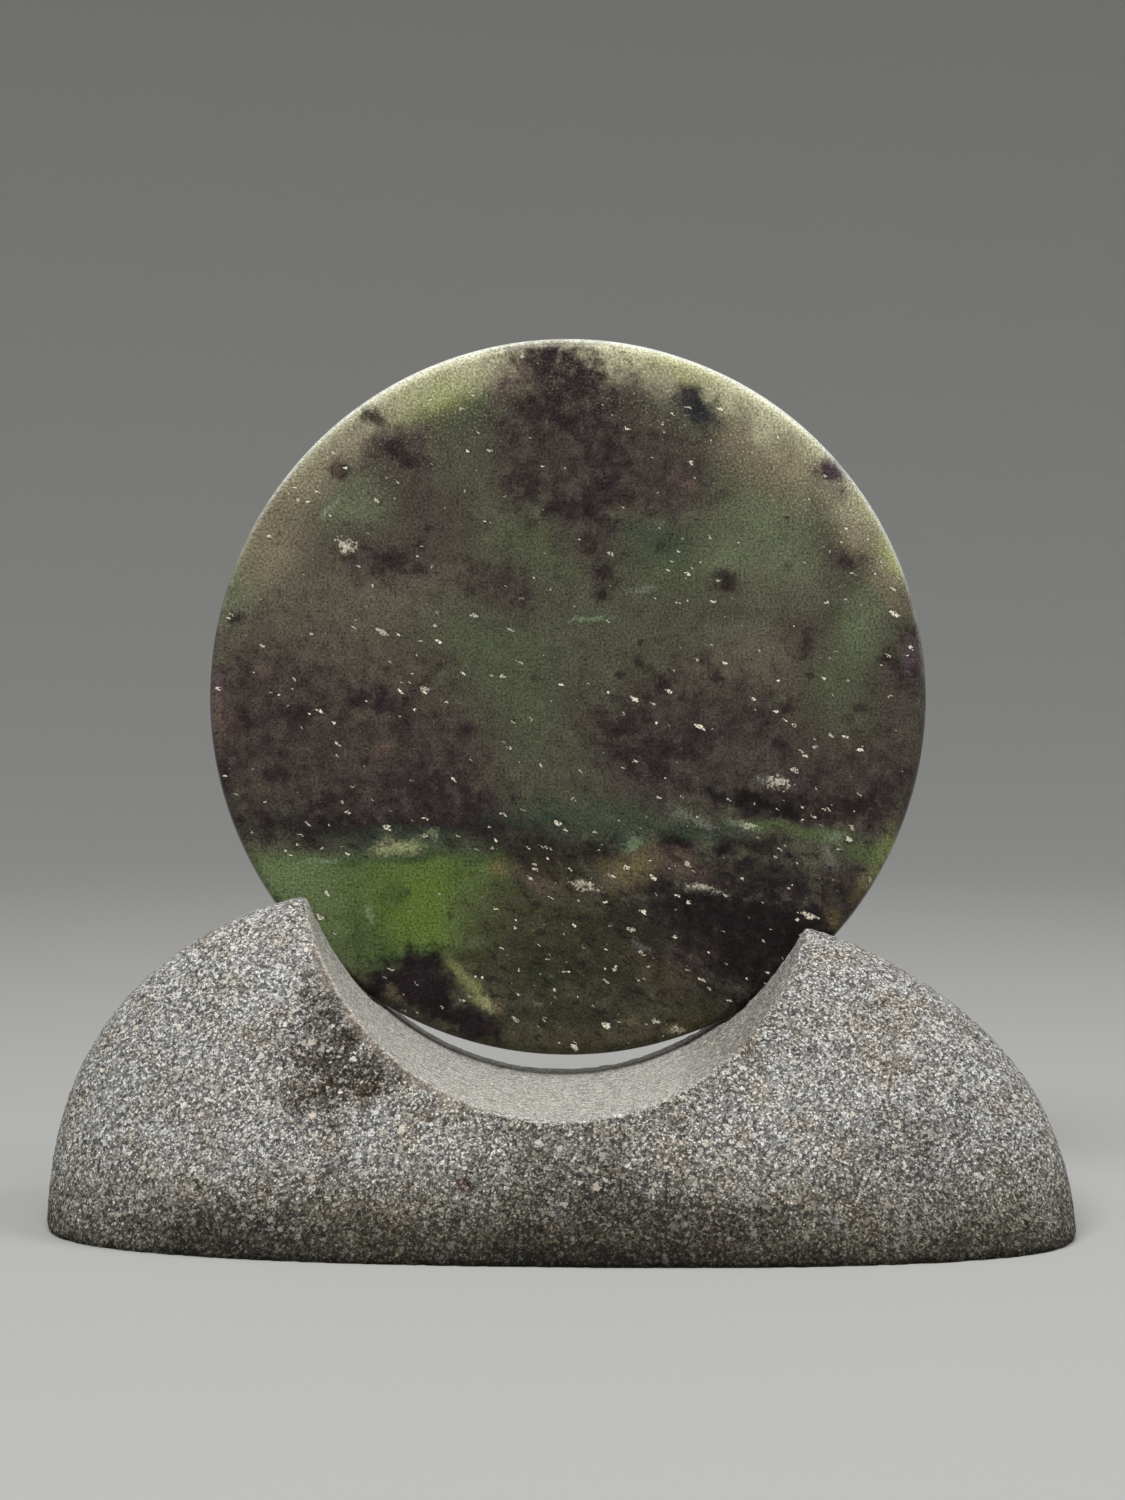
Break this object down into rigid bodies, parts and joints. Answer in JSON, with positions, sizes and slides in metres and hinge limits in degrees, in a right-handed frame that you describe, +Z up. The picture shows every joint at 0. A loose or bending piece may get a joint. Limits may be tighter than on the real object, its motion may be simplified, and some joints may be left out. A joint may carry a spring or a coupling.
{
  "type": "greenstone disc on a stone stand",
  "caption": "Thin round disc of polished mottled greenstone standing on edge in the slot of a half-moon stand of grey granular stone.",
  "frame": {"origin": "middle of the stand's footprint, on the surface that it stands on", "axes": "+X to the right as seen from the front, +Y to the back, +Z up; the disc's polished front faces -Y"},
  "size_m": [0.2032, 0.0667, 0.1787],
  "materials": {
    "greenstone": "satin polish, olive green clouded with purple-brown, bright green low on the left, pale metallic flecks",
    "grey_stone": "matt, pale grey with fine white and dark grains, brown stain beside the scoop and along the base"
  },
  "bodies": {
    "root": {"disc": "greenstone", "stand": "grey_stone"}
  },
  "joints": []
}
